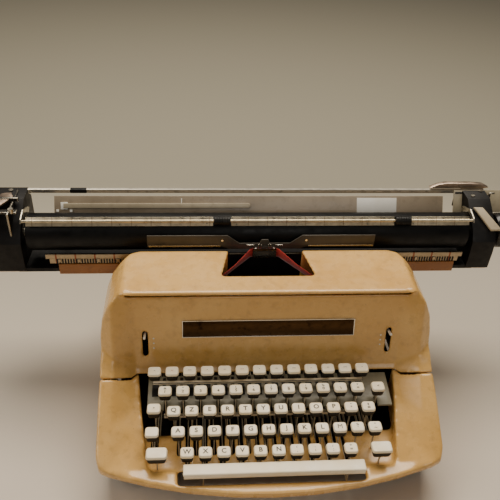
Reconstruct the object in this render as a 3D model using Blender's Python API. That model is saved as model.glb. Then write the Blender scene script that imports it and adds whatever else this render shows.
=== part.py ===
"""Manual office typewriter with a wide carriage.

Sizes are millimetres in the machine's own frame: x to the right from the middle of the keyboard,
y away from the typist from the bottom row of letters, z up from the table. placeNode turns a
finished mesh into metres and sets it on its own origin.
"""
import bmesh
import bpy
import math
from mathutils import Matrix, Vector

mm = 0.001

# keyboard
keyPitch = 19.05
rowStep = 19.05
rowRise = 10.0
firstRowTop = 72.0
capHeight = 5.0
skirtHeight = 7.0
leverThick = 1.6
leverLow = 31.0
leverHigh = 36.0
pivotY = 205.0
pivotZ = 33.5
pivotRadius = 2.5
deckTop = 44.5
deckThick = 2.5
deckRear = 44.0

# casing
sheet = 3.0
casingBottom = 15.0
seamZ = 90.0
seamGap = 0.3
seamLine = [(-100, 100), (76, 100), (88, 88), (150, 88), (160, seamZ), (340, seamZ)]
casingRear = 296.0
hoodRear = 191.0
hoodTop = 190.0
wellFront = -6.0
wellRear = 100.0
wellHalfFront = 132.5
wellHalfRear = 146.0
notchLeft = -100.0
notchRight = 96.0
notchFront = -24.0
panelFootY = 98.0
panelFootZ = 95.0
panelHeadY = 117.0
panelHeadZ = 183.0
slotX = 137.0
slotLow = 108.0
slotHigh = 140.0

# carriage
platenLeft = -276.0
platenRight = 248.0
platenRadius = 22.0
shaftRadius = 4.9
platenY = 225.0
platenZ = 194.0
knobRadius = 21.5
knobLeft = -352.0
knobRight = 312.0
knobLength = 26.0
housingLeft = (-324.0, -281.5)
housingRight = (253.5, 282.0)
bailY = 210.5
bailZ = 217.5
bailPivotY = 246.0
bailPivotZ = 212.0
rollerRadius = 5.3
rollerLength = 19.0
rollerCentres = {"left": -50.0, "right": 165.0}
tableLeft = -250.0
tableRight = 228.0
tableFoot = (246.6, 202.0)
tableHead = (259.0, 222.6)

# where the middle of the whole machine's box lies in this frame
boxCentreX = (knobLeft + knobRight) / 2
boxFrontY = -38.0
boxRearY = casingRear


def clearScene():
    for item in list(bpy.data.objects):
        bpy.data.objects.remove(item, do_unlink=True)


def makeMaterial(name, colour, roughness, metallic=0.0):
    material = bpy.data.materials.new(name)
    material.use_nodes = True
    shader = material.node_tree.nodes["Principled BSDF"]
    shader.inputs["Base Color"].default_value = (*colour, 1.0)
    shader.inputs["Roughness"].default_value = roughness
    shader.inputs["Metallic"].default_value = metallic
    return material


def placeNode(name, bm, origin, material):
    """Write a millimetre mesh as a named object that stands on its own origin."""
    bmesh.ops.recalc_face_normals(bm, faces=bm.faces)
    bmesh.ops.translate(bm, vec=-Vector(origin), verts=bm.verts)
    bmesh.ops.scale(bm, vec=(mm, mm, mm), verts=bm.verts)
    mesh = bpy.data.meshes.new(name)
    bm.to_mesh(mesh)
    bm.free()
    node = bpy.data.objects.new(name, mesh)
    bpy.context.scene.collection.objects.link(node)
    node.parent = root
    node.location = Vector(origin) * mm
    if material is not None:
        mesh.materials.append(material)
    return node


def placeTool(name, bm):
    """A cutter or a piece to be joined: it shapes other nodes and is no node itself."""
    tool = placeNode(name, bm, (0, 0, 0), None)
    tool.hide_render = True
    tool.display_type = "WIRE"
    return tool


def combine(node, tool, operation):
    step = node.modifiers.new(operation.lower(), "BOOLEAN")
    step.operation = operation
    step.object = tool
    step.solver = "EXACT"


def box(bm, xs, ys, zs):
    size = (xs[1] - xs[0], ys[1] - ys[0], zs[1] - zs[0])
    middle = ((xs[0] + xs[1]) / 2, (ys[0] + ys[1]) / 2, (zs[0] + zs[1]) / 2)
    bmesh.ops.create_cube(bm, size=1.0, matrix=Matrix.LocRotScale(middle, None, size))


def prism(bm, outline, low, high, axis="x"):
    """Extrude a flat outline along an axis. It is drawn in (y, z), (x, z) or (x, y)."""
    def point(pair, along):
        if axis == "x":
            return (along, pair[0], pair[1])
        if axis == "y":
            return (pair[0], along, pair[1])
        return (pair[0], pair[1], along)
    verts = [bm.verts.new(point(pair, low)) for pair in outline]
    face = bm.faces.new(verts)
    made = bmesh.ops.extrude_face_region(bm, geom=[face])["geom"]
    moved = [item for item in made if isinstance(item, bmesh.types.BMVert)]
    shift = Vector(point((0, 0), high)) - Vector(point((0, 0), low))
    bmesh.ops.translate(bm, vec=shift, verts=moved)


def loft(bm, loops):
    """Join closed loops with the same number of points into one capped solid."""
    rings = [[bm.verts.new(point) for point in loop] for loop in loops]
    count = len(rings[0])
    for lower, upper in zip(rings, rings[1:]):
        for i in range(count):
            j = (i + 1) % count
            bm.faces.new((lower[i], lower[j], upper[j], upper[i]))
    bm.faces.new(rings[0][::-1])
    bm.faces.new(rings[-1])
    bmesh.ops.triangulate(bm, faces=bm.faces)


def turned(bm, profile, centre, axis, steps, angle=2 * math.pi):
    """Spin an outline of (radius, along) pairs about an axis through centre."""
    across = Vector((0, 1, 0)) if axis == "x" else Vector((1, 0, 0))
    along = Vector((1, 0, 0)) if axis == "x" else Vector((0, 0, 1))
    verts = [bm.verts.new(Vector(centre) + across * r + along * a) for r, a in profile]
    edges = [bm.edges.new((a, b)) for a, b in zip(verts, verts[1:] + verts[:1])]
    full = angle > 6.28
    start = verts + edges
    made = bmesh.ops.spin(bm, geom=start, cent=centre, axis=along, angle=angle, steps=steps,
                          use_merge=full)
    if full:
        bmesh.ops.remove_doubles(bm, verts=bm.verts, dist=0.001)
        loose = [e for e in bm.edges if not e.link_faces]
        bmesh.ops.delete(bm, geom=loose, context="EDGES")
    else:
        last = [item for item in made["geom_last"] if isinstance(item, bmesh.types.BMVert)]
        bm.faces.new(verts)
        bm.faces.new(last)


def roundBar(bm, centre, radius, low, high, sides=12):
    """A cylinder along x through centre, given as (y, z)."""
    turned(bm, [(0, low), (radius, low), (radius, high), (0, high)], (0, *centre), "x", sides)


def row(number):
    """Height and distance of a row of keys, counted from the bottom letters."""
    return number * rowStep, firstRowTop + number * rowRise


def growCap(bm, face, stem, key, halfCap):
    """Raise a skirt and a cap on the small face at a stem's top."""
    stages = [
        (key[2] - capHeight - skirtHeight, 0.62),
        (key[2] - capHeight, 0.94),
        (key[2] - capHeight + 0.4, 1.0),
        (key[2], 0.88),
    ]
    corners = []
    for height, share in stages:
        made = bmesh.ops.extrude_face_region(bm, geom=[face])["geom"]
        bmesh.ops.delete(bm, geom=[face], context="FACES_ONLY")
        face = next(item for item in made if isinstance(item, bmesh.types.BMFace))
        for vert in face.verts:
            side = 1 if vert.co.x > stem[0] else -1
            deep = 1 if vert.co.y > stem[1] else -1
            vert.co = (key[0] + side * halfCap[0] * share, key[1] + deep * halfCap[1] * share, height)
        stem = key
        corners.append(list(face.verts))
    edges = []
    for lower, upper in zip(corners, corners[1:]):
        edges += [bm.edges.get((a, b)) for a in lower for b in upper if bm.edges.get((a, b))]
    bmesh.ops.bevel(bm, geom=edges, offset=2.0, segments=1, profile=0.5, affect="EDGES")


def leverOutline(front, top):
    """Side view of a key's lever: stem in front, fork round the pivot rod at the rear."""
    stemHalf = 2.0
    forkFront = pivotY - 9
    forkRear = pivotY + 3
    slot = pivotRadius + 0.3
    return [
        (front - stemHalf, top), (front - stemHalf, leverLow),
        (forkFront, leverLow), (forkFront, pivotZ - 6), (forkRear, pivotZ - 6),
        (forkRear, pivotZ - slot), (pivotY - slot, pivotZ - slot),
        (pivotY - slot, pivotZ + slot), (forkRear, pivotZ + slot),
        (forkRear, pivotZ + 6), (forkFront, pivotZ + 6), (forkFront, leverHigh),
        (front + stemHalf, leverHigh), (front + stemHalf, top),
    ]


def stemTop(bm, x, y, z):
    """The small upward face at a stem's top."""
    def distance(face):
        return (face.calc_center_median() - Vector((x, y, z))).length
    return min(bm.faces, key=distance)


def makeKey(name, x, y, top, material, halfCap=(7.5, 7.0), leverX=None):
    """One key: cap, skirt, stem and flat lever, turning on the pivot rod behind."""
    leverX = x if leverX is None else leverX
    bm = bmesh.new()
    skirtLow = top - capHeight - skirtHeight
    prism(bm, leverOutline(y, skirtLow), leverX - leverThick / 2, leverX + leverThick / 2)
    face = stemTop(bm, leverX, y, skirtLow)
    growCap(bm, face, (leverX, y, skirtLow), (x, y, top), halfCap)
    return placeNode(name, bm, (leverX, pivotY, pivotZ), material)


def keyComb(xs, y, top, barLow, barHigh, barRight):
    """Keys on one bar: the bar and its stems are one comb, with a cap grown on each stem."""
    bm = bmesh.new()
    skirtLow = top - capHeight - skirtHeight
    half = leverThick / 2
    outline = [(xs[0] - 3, barHigh), (xs[0] - 3, barLow), (barRight, barLow), (barRight, barHigh)]
    for x in reversed(xs):
        outline += [(x + half, barHigh), (x + half, skirtLow), (x - half, skirtLow), (x - half, barHigh)]
    prism(bm, outline, y - 2, y + 2, axis="y")
    for x in xs:
        face = stemTop(bm, x, y, skirtLow)
        growCap(bm, face, (x, y, skirtLow), (x, y, top), (7.5, 7.0))
    return bm


def makeKeyRow(name, xs, y, top, barLow, barHigh, origin, material):
    """A bank of keys on one bar, as its own node."""
    bm = keyComb(xs, y, top, barLow, barHigh, xs[-1] + 3)
    return placeNode(name, bm, origin, material)


def rowXs(first, count):
    return [first + i * keyPitch for i in range(count)]


letterRows = {
    0: (-90.4, "W X C V B N"),
    1: (-99.9, "A S D F G H J K L M"),
    2: (-104.7, "Q Z E R T Y U I O P"),
}
numberXs = rowXs(-114.2, 12)
tabXs = rowXs(-125.9, 13)
punctuationKeys = [(23.9 + i * keyPitch, 0) for i in range(4)]
punctuationPlateX = 93.0
punctuationKeys += [(90.6, 1), (109.65, 1), (85.8, 2), (104.85, 2)]
shiftXs = {"left": -121.6, "right": 113.9}


# slots of the deck as (left, right, front, rear): most run out behind, so the deck is a comb
slotHalf = 1.6
deckSlots = [(x - slotHalf, x + slotHalf, -3.6, 50) for x in rowXs(-90.4, 10) + [punctuationPlateX]]
deckSlots += [(x - slotHalf, x + slotHalf, -3.6, 5) for x in shiftXs.values()]
deckSlots += [(x - slotHalf, x + slotHalf, 15.5, 50) for x in rowXs(-99.9, 10)]
deckSlots += [(x - slotHalf, x + slotHalf, 34.5, 50) for x in rowXs(-104.7, 10)]
deckSlots += [(-128.6, -122.7, 15.5, 50)]


def makeLetterKeys(material):
    for number, (first, letters) in letterRows.items():
        y, top = row(number)
        for i, letter in enumerate(letters.split()):
            makeKey("key_" + letter.lower(), first + i * keyPitch, y, top, material)


def makeOtherKeys(material):
    for side, x in shiftXs.items():
        makeKey("shift_key_" + side, x, 0, firstRowTop, material, halfCap=(11.2, 7.0))
    lockY, lockTop = row(1)
    makeKey("shift_lock_key", -127.0, lockY, lockTop, material)
    marginY, marginTop = row(2)
    makeKey("margin_key", -125.5, marginY + 2, marginTop + 2, material, leverX=-124.3)
    backY, backTop = row(3)
    makeKey("backspace_key", 118.1, backY, backTop, material)
    makeKeyRow("number_key_row", numberXs, backY, backTop, 58, 63, (0, pivotY, pivotZ), material)
    tabY, tabTop = row(4)
    makeKeyRow("tabulator_key_row", tabXs, tabY, tabTop, 91, 94, (0, tabY, tabTop), material)


def combOutline(stems):
    """Side view of a lever with several stems, given as (y, top) from front to rear."""
    fork = leverOutline(stems[0][0], stems[0][1])
    teeth = []
    for y, top in reversed(stems[1:]):
        teeth += [(y + 2, leverHigh), (y + 2, top), (y - 2, top), (y - 2, leverHigh)]
    return fork[:-2] + teeth + fork[-2:]


def makePunctuationKeys(material):
    """Eight keys on three bars, carried by one plate that reaches back to the pivot rod.

    The bars stay above the arms of the space bar, at rest and pressed.
    """
    barDrop, barHeight = 1.5, 4.5
    half = leverThick / 2
    stems = []
    bars = []
    for number in (0, 1, 2):
        y, top = row(number)
        barHigh = top - capHeight - skirtHeight - barDrop
        xs = [x for x, line in punctuationKeys if line == number]
        barRight = max(xs[-1] + 3, punctuationPlateX + 1.5)
        stems.append((y, barHigh - 1))
        bars.append(keyComb(xs, y, top, barHigh - barHeight, barHigh, barRight))
    plate = bmesh.new()
    prism(plate, combOutline(stems), punctuationPlateX - half, punctuationPlateX + half)
    node = placeNode("punctuation_keys", plate, (0, pivotY, pivotZ), material)
    for i, bar in enumerate(bars):
        combine(node, placeTool("punctuation_bar_%d" % i, bar), "UNION")


def makeSpaceBar(material):
    """The long bar and its two arms, which run back between the key levers."""
    front, rear, low, top = -23.0, -9.0, 56.5, 64.5
    armXs = (-73.75, 78.65)
    bm = bmesh.new()
    outline = [(front + 1.5, low), (rear, low), (rear, top - 1), (rear - 1, top),
               (front + 1, top), (front, top - 1.2)]
    prism(bm, outline, -94.5, 94.5)
    node = placeNode("space_bar", bm, (0, pivotY, pivotZ), material)
    arms = bmesh.new()
    for x in armXs:
        prism(arms, leverOutline(-11.2, low + 2), x - leverThick / 2, x + leverThick / 2)
    combine(node, placeTool("space_bar_arms", arms), "UNION")


def planLoop(half, frontMiddle, frontCorner, rear, z, offset=0.0):
    """Plan outline of the casing at one height: bowed front, rounded corners."""
    half -= offset
    frontMiddle += offset
    frontCorner += offset
    rear -= offset
    loop = []
    for i in range(9):
        t = -1 + i / 4
        loop.append((t * (half - 14), frontMiddle + (frontCorner - frontMiddle) * t * t, z))
    loop += [(half - 4, frontCorner + 5, z), (half, frontCorner + 17, z)]
    loop += [(half, rear - 16, z), (half - 5, rear - 5, z), (half - 16, rear, z)]
    mirrored = [(-x, y, z) for x, y, z in reversed(loop[9:])]
    return loop + mirrored


def lowerSkin(offset, bottom, top):
    """Outer form of the lower casing, or the same form moved in by offset."""
    bm = bmesh.new()
    levels = [(bottom, 182, -18, 10), (28, 184, -24, 4), (40, 186, -36, -6), (46, 186, -38, -8),
              (top, 186, -38, -8)]
    loft(bm, [planLoop(w, a, b, casingRear, z, offset) for z, w, a, b in levels])
    return bm


def hoodSkin(offset, bottom):
    """Outer form of the hood: upright sides that roll in to the top."""
    bm = bmesh.new()
    levels = [(bottom, 186), (132, 186), (152, 183), (170, 176), (183, 167), (hoodTop, 160)]
    loops = []
    for z, w in levels:
        height = min(z, hoodTop - offset)
        loops.append(planLoop(w, 20, 30, hoodRear, height, offset))
    loft(bm, loops)
    return bm


def seamBlock(shift, far):
    """Everything beyond the seam between the casing and the hood, up or down to a far height."""
    bm = bmesh.new()
    line = [(y, z + shift) for y, z in seamLine]
    prism(bm, line + [(seamLine[-1][0], far), (seamLine[0][0], far)], -300, 300)
    return bm


def frontShape(back, down):
    """Everything in front of and above the casing's sloping front, as a solid to cut away."""
    inner = [(-60, 50), (wellFront, 50.5), (30, 64.5), (60, 76), (92, 89), (panelFootY, panelFootZ),
             (panelHeadY, panelHeadZ), (112, 186.5), (112, 260), (-60, 260)]
    crest = [(-60, 44), (wellFront, 52), (30, 74), (60, 92), (82, 103), (92, 112),
             (112, 176), (115, 186.5), (114, 260), (-60, 260)]
    outer = [(-60, 38), (-2, 50), (30, 72), (60, 92), (90, 110), (118, 127),
             (146, 142), (166, 160), (176, 260), (-60, 260)]
    sections = [(-200, outer), (-172, crest), (-148, inner), (148, inner), (172, crest), (200, outer)]
    bm = bmesh.new()
    loft(bm, [[(x, y + back, z - down) for y, z in outline] for x, outline in sections])
    return bm


def wellOutline(spread):
    """Plan outline of the key well with the space bar's notch, widened by spread."""
    rearHalf = wellHalfRear + spread
    frontHalf = wellHalfFront + spread
    return [
        (-rearHalf, wellRear), (-frontHalf, wellFront - spread + 6), (-frontHalf + 5, wellFront - spread),
        (notchLeft - spread, wellFront - spread), (notchLeft - spread, notchFront - spread),
        (notchRight + spread, notchFront - spread), (notchRight + spread, wellFront - spread),
        (frontHalf - 5, wellFront - spread), (frontHalf, wellFront - spread + 6), (rearHalf, wellRear),
    ]


def makeLowerCasing(material):
    """Shell with a key well. A narrow deck closes the well in front, slotted for the first row."""
    node = placeNode("lower_casing", lowerSkin(0, casingBottom, 108), (0, 0, 0), material)
    combine(node, placeTool("front_shape", frontShape(0, 0)), "DIFFERENCE")
    combine(node, placeTool("above_seam", seamBlock(-seamGap, 400)), "DIFFERENCE")

    well = bmesh.new()
    prism(well, wellOutline(0), deckTop, 300, axis="z")
    combine(node, placeTool("well_above_deck", well), "DIFFERENCE")

    through = bmesh.new()
    halfAt = wellHalfFront + (wellHalfRear - wellHalfFront) * (deckRear - wellFront) / (wellRear - wellFront)
    prism(through, [(-halfAt, deckRear), (halfAt, deckRear), (wellHalfRear, wellRear),
                    (-wellHalfRear, wellRear)], 0, 200, axis="z")
    box(through, (notchLeft, notchRight), (notchFront, wellFront + 1.5), (38, 200))
    combine(node, placeTool("well_through", through), "DIFFERENCE")
    slots = bmesh.new()
    for left, right, front, rear in deckSlots:
        box(slots, (left, right), (front, rear), (30, 60))
    combine(node, placeTool("deck_slots", slots), "DIFFERENCE")

    inside = placeTool("lower_inside", lowerSkin(sheet, casingBottom - 4, 120))
    combine(inside, placeTool("front_skin", frontShape(sheet, sheet)), "DIFFERENCE")
    walls = bmesh.new()
    prism(walls, wellOutline(2.5), deckTop - deckThick, 300, axis="z")
    combine(inside, placeTool("well_walls", walls), "DIFFERENCE")
    rearDeck = bmesh.new()
    box(rearDeck, (-200, 200), (hoodRear - 2, 320), (seamZ - seamGap - sheet, 200))
    combine(inside, placeTool("rear_deck", rearDeck), "DIFFERENCE")
    combine(node, inside, "DIFFERENCE")


def panelPoint(z, out=0.0):
    """A point (y, z) on the sloping panel, moved out of it by a distance."""
    run = panelHeadY - panelFootY
    rise = panelHeadZ - panelFootZ
    length = math.hypot(run, rise)
    y = panelFootY + run * (z - panelFootZ) / rise
    return (y - out * rise / length, z + out * run / length)


def makeTopHood(material):
    """The cover over the type basket, with its sloping panel and the type opening."""
    node = placeNode("top_hood", hoodSkin(0, 80), (0, 0, 0), material)
    combine(node, placeTool("hood_front", frontShape(0, 0)), "DIFFERENCE")
    combine(node, placeTool("below_seam", seamBlock(seamGap, -60)), "DIFFERENCE")
    inside = placeTool("hood_inside", hoodSkin(sheet, 60))
    combine(inside, placeTool("hood_front_skin", frontShape(sheet, sheet)), "DIFFERENCE")
    combine(node, inside, "DIFFERENCE")

    openings = bmesh.new()
    prism(openings, [(-52, 143), (52, 143), (40.5, 200), (-40.5, 200)], 80, 220, axis="z")
    for x in (-slotX, slotX):
        y = panelPoint((slotLow + slotHigh) / 2)[0]
        box(openings, (x - 2.6, x + 2.6), (y - 15, y + 18), (slotLow, slotHigh))
    combine(node, placeTool("hood_openings", openings), "DIFFERENCE")


def makeNameplate(material):
    bm = bmesh.new()
    low, high = 132.5, 153.0
    outline = [panelPoint(low, 0.35), panelPoint(high, 0.35), panelPoint(high, 1.5), panelPoint(low, 1.5)]
    prism(bm, outline, -96, 96)
    placeNode("nameplate", bm, (0, panelPoint(141.5)[0], 141.5), material)


def makePanelLever(name, x, material):
    """A small lever in a slot of the panel, resting near the slot's top."""
    pivot = (133.5, 124.0)
    tip = panelPoint(135.5, 7.0)
    back = panelPoint(135.5, -1.0)
    bm = bmesh.new()
    outline = [(pivot[0], pivot[1] - 2.5), (pivot[0] + 2.5, pivot[1]), (pivot[0], pivot[1] + 2.5),
               (back[0], back[1] + 1.2), (tip[0], tip[1] + 1.6), (tip[0] - 1.2, tip[1]),
               (tip[0], tip[1] - 1.6), (back[0], back[1] - 1.6)]
    prism(bm, outline, x - 1.2, x + 1.2)
    placeNode(name, bm, (x, *pivot), material)


def makeChassis(material):
    """Base plate on four feet, side plates and the rod that every key lever turns on."""
    bm = bmesh.new()
    plate = [(-176, 36), (-150, 16), (150, 16), (176, 36), (176, 284), (-176, 284)]
    prism(bm, plate, 14, 16.5, axis="z")
    node = placeNode("chassis", bm, (0, 0, 0), material)
    posts = bmesh.new()
    for x in (-150, 150):
        box(posts, (x - 1.5, x + 1.5), (150, 284), (15, 84))
        for y in (40, 268):
            profile = [(0, 0), (10, 0), (12, 2), (12, 15), (0, 15)]
            turned(posts, profile, (x * 1.08, y, 0), "z", 16)
    combine(node, placeTool("chassis_posts", posts), "UNION")
    rod = bmesh.new()
    roundBar(rod, (pivotY, pivotZ), pivotRadius, -150, 150)
    combine(node, placeTool("pivot_rod", rod), "UNION")


def makeCombPlate(material):
    """The sloping guide plate behind the number keys, open in front where their stems pass."""
    bm = bmesh.new()
    prism(bm, [(50, 76.5), (92, 83.5), (92, 86), (50, 79)], -134, 136)
    node = placeNode("key_comb_plate", bm, (0, 50, 79), material)
    slots = bmesh.new()
    for x in numberXs + [118.1]:
        box(slots, (x - 1.7, x + 1.7), (45, 61), (70, 95))
    combine(node, placeTool("comb_slots", slots), "DIFFERENCE")


def makeSegment(material):
    """Half ring that carries the fan of type bars, resting as a shallow half dish."""
    bm = bmesh.new()
    profile = [(24, 136), (58, 148), (61, 156), (55, 158), (24, 144)]
    turned(bm, profile, (0, 184, 0), "z", 20, -math.pi)
    placeNode("type_segment", bm, (0, 184, 140), material)


def makeSpool(name, x, material):
    bm = bmesh.new()
    profile = [(0, 158), (26, 158), (26, 159.5), (17, 159.5), (17, 173), (26, 173), (26, 174.5), (0, 174.5)]
    turned(bm, profile, (x, 152, 0), "z", 20)
    placeNode(name, bm, (x, 152, 160), material)


def makeRibbon(material):
    """Thin ribbon from spool to spool through the guide in front of the platen."""
    half = 0.3
    stations = [(-86, 130, 160.5), (-15, 196, 176), (15, 196, 176), (86, 130, 160.5)]
    loops = []
    for x, y, z in stations:
        loops.append([(x, y - half, z), (x, y + half, z), (x, y + half, z + 12), (x, y - half, z + 12)])
    bm = bmesh.new()
    loft(bm, loops)
    placeNode("ink_ribbon", bm, (0, 196, 176), material)


def makeCardHolder(material):
    """Line guide at the printing point: two thin wings on a post behind the hood."""
    bm = bmesh.new()
    plate = [(-137, 205), (-137, 189), (-50, 189), (-42, 186), (42, 186), (50, 189), (131, 189),
             (131, 205), (44, 205), (30, 194), (6, 194), (4, 199), (-4, 199),
             (-6, 194), (-30, 194), (-44, 205)]
    prism(bm, plate, 198.4, 199.8, axis="y")
    node = placeNode("card_holder", bm, (0, 199, 190), material)
    post = bmesh.new()
    box(post, (-12, 12), (197.4, 199.0), (seamZ + seamGap, 190))
    combine(node, placeTool("card_holder_post", post), "UNION")


def makeCarriageRail(material):
    """Two fixed rails on four cross walls behind the hood."""
    bm = bmesh.new()
    for y in (210, 262):
        box(bm, (-178, 178), (y, y + 10), (136, 146))
    node = placeNode("carriage_rail", bm, (0, 240, 140), material)
    legs = bmesh.new()
    for x in (-172, -60, 60, 172):
        box(legs, (x - 2, x + 2), (211, 271), (seamZ + seamGap, 140))
    combine(node, placeTool("rail_legs", legs), "UNION")


def makeCarriageFrame(material):
    """Beam, front tray, rear rail and the two end housings: one rigid frame."""
    bm = bmesh.new()
    box(bm, (-290, 262), (203.5, 278), (151, 156))
    box(bm, (-290, 262), (265, 269), (223, 227.5))
    node = placeNode("carriage_frame", bm, (0, 240, 150), material)
    outline = [(200.6, 176), (202, 153), (210, 146), (262, 146), (276, 158), (276, 214), (270, 227.6),
               (244, 227.6), (232, 220), (210, 206), (201, 192)]
    ends = bmesh.new()
    for low, high in (housingLeft, housingRight):
        prism(ends, outline, low, high)
    box(ends, (-242, 236), (199.8, 206), (150, 164))
    combine(node, placeTool("carriage_ends", ends), "UNION")
    cover = bmesh.new()
    prism(cover, [(252, 203), (254, 202), (266, 227), (264, 228)], 243, 306)
    combine(node, placeTool("carriage_cover", cover), "UNION")
    bore = bmesh.new()
    roundBar(bore, (platenY, platenZ), shaftRadius + 0.6, -330, 290, sides=16)
    combine(node, placeTool("shaft_bore", bore), "DIFFERENCE")


def makeScaleBar(material):
    """Front scale with the toothed tabulator rack under it."""
    bm = bmesh.new()
    outline = [(201, 164.4), (203.2, 164.4), (203.2, 178), (200.2, 178), (200.2, 171.5), (201, 171)]
    prism(bm, outline, -256, 244)
    placeNode("front_scale", bm, (0, 201.5, 171), material)

def makePlaten(rubber, hard):
    bm = bmesh.new()
    inner = shaftRadius + 0.3
    profile = [(inner, platenLeft), (platenRadius, platenLeft),
               (platenRadius, platenRight), (inner, platenRight)]
    turned(bm, profile, (0, platenY, platenZ), "x", 32)
    placeNode("platen", bm, (0, platenY, platenZ), rubber)

    innerLeft = knobLeft + knobLength
    innerRight = knobRight - knobLength
    rim = knobRadius - 2.5
    bm = bmesh.new()
    profile = [
        (0, knobLeft), (rim, knobLeft), (knobRadius, knobLeft + 3),
        (knobRadius, innerLeft - 3), (rim, innerLeft), (shaftRadius, innerLeft),
        (shaftRadius, innerRight), (rim, innerRight), (knobRadius, innerRight + 3),
        (knobRadius, knobRight - 3), (rim, knobRight), (0, knobRight),
    ]
    turned(bm, profile, (0, platenY, platenZ), "x", 24)
    placeNode("platen_knobs", bm, (0, platenY, platenZ), hard)


def makePaperTable(material):
    """Sloping table behind the platen, with a bracket at each end."""
    bm = bmesh.new()
    thick = 2.4
    rise, run = tableHead[1] - tableFoot[1], tableHead[0] - tableFoot[0]
    back = Vector((rise, -run)).normalized() * thick
    outline = [tableFoot, (tableFoot[0] + back.x, tableFoot[1] + back.y),
               (tableHead[0] + back.x, tableHead[1] + back.y), tableHead]
    prism(bm, outline, tableLeft, tableRight)
    node = placeNode("paper_table", bm, (0, *tableFoot), material)
    brackets = bmesh.new()
    side = [(250, 157), (258, 157), (261, 200), (264, 216), (258.5, 219), (251, 206)]
    for x in (tableLeft + 4, tableRight - 7):
        prism(brackets, side, x, x + 3)
    combine(node, placeTool("table_brackets", brackets), "UNION")


def makeSupportArm(material):
    """Long flat arm lying on the table's face, turning up about its left end."""
    slope = math.atan2(tableHead[1] - tableFoot[1], tableHead[0] - tableFoot[0])
    pivotX, reach, half = -236.0, 219.0, 3.0
    bm = bmesh.new()
    outline = [(-half, -half), (reach, -half)]
    for i in range(1, 6):
        angle = -math.pi / 2 + math.pi * i / 6
        outline.append((reach + half * math.cos(angle), half * math.sin(angle)))
    outline += [(reach, half), (-half, half)]
    prism(bm, outline, 0.4, 2.0, axis="z")
    turn = Matrix.Rotation(slope, 4, "X")
    pivot = Vector((pivotX, (tableFoot[0] + tableHead[0]) / 2, (tableFoot[1] + tableHead[1]) / 2))
    bmesh.ops.transform(bm, matrix=Matrix.Translation(pivot) @ turn, verts=bm.verts)
    placeNode("paper_support_arm", bm, pivot, material)


def makeBail(material):
    """Paper bail: a rod with a flat scale on it, and an arm at each end."""
    left, right = platenLeft - 4.2, platenRight + 4.2
    bm = bmesh.new()
    roundBar(bm, (bailY, bailZ), 1.7, left, right, sides=10)
    node = placeNode("paper_bail", bm, (0, bailPivotY, bailPivotZ), material)
    flats = bmesh.new()
    gap = rollerLength / 2 + 1
    stops = [left + 6, rollerCentres["left"] - gap, rollerCentres["left"] + gap,
             rollerCentres["right"] - gap, rollerCentres["right"] + gap, right - 6]
    for start, end in zip(stops[0::2], stops[1::2]):
        prism(flats, [(bailY - 3.4, bailZ - 4.6), (bailY - 2.2, bailZ - 5.2), (bailY + 3.4, bailZ + 3.6),
                      (bailY + 2.2, bailZ + 4.2)], start, end)
    arm = [(bailY - 3, bailZ - 1.5), (bailY - 1, bailZ + 3), (bailY + 14, bailZ + 7),
           (bailPivotY, bailPivotZ + 4), (bailPivotY + 4, bailPivotZ), (bailPivotY, bailPivotZ - 4),
           (bailY + 17, bailZ + 1.5)]
    for x in (left, right - 1.5):
        prism(flats, arm, x, x + 1.5)
    combine(node, placeTool("bail_flats", flats), "UNION")


def makeBailRoller(side, material):
    x = rollerCentres[side]
    low, high = x - rollerLength / 2, x + rollerLength / 2
    bm = bmesh.new()
    profile = [(2.1, low), (rollerRadius, low), (rollerRadius, high), (2.1, high)]
    turned(bm, profile, (0, bailY, bailZ), "x", 16)
    placeNode("bail_roller_" + side, bm, (x, bailY, bailZ), material)


def makeReturnLever(material):
    """Flat carriage return lever on the left housing, with its finger turned down."""
    pivot = Vector((-300, 246, 0))
    tip = Vector((-343, 160, 0))
    along = (tip - pivot).normalized()
    across = Vector((along.y, -along.x, 0))
    low, high = 228.6, 231.6
    outline = [pivot + across * 8, pivot - along * 7, pivot - across * 8,
               tip - across * 6, tip + along * 4, tip + across * 6]
    bm = bmesh.new()
    prism(bm, [(point.x, point.y) for point in outline], low, high, axis="z")
    node = placeNode("return_lever", bm, (pivot.x, pivot.y, low), material)
    finger = bmesh.new()
    corners = [tip - across * 5 - along * 1, tip - across * 5 + along * 1.6,
               tip + across * 5 + along * 1.6, tip + across * 5 - along * 1]
    prism(finger, [(point.x, point.y) for point in corners], 204, 230, axis="z")
    combine(node, placeTool("return_finger", finger), "UNION")


def makeReleaseLevers(plain, bright):
    """A long curved lever on the rear rail, and a flat slanting one beside the right knob."""
    bm = bmesh.new()
    outline = [(212, 229), (282, 229), (288, 230), (279, 234.6), (262, 236), (232, 236), (222, 234)]
    prism(bm, outline, 266.6, 272.6, axis="y")
    placeNode("paper_release_lever", bm, (250, 269.6, 229.5), bright)

    bm = bmesh.new()
    head = [(257, 232, 221.0), (269, 232, 221.0), (269, 230.4, 224.0), (257, 230.4, 224.0)]
    foot = [(274, 206, 204.4), (288, 206, 204.4), (288, 204.6, 207.4), (274, 204.6, 207.4)]
    loft(bm, [head, foot])
    placeNode("carriage_release_lever", bm, (263, 232, 222.5), plain)


clearScene()
root = bpy.data.objects.new("typewriter", None)
bpy.context.scene.collection.objects.link(root)
root.location = (-boxCentreX * mm, -(boxFrontY + boxRearY) / 2 * mm, 0)

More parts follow.
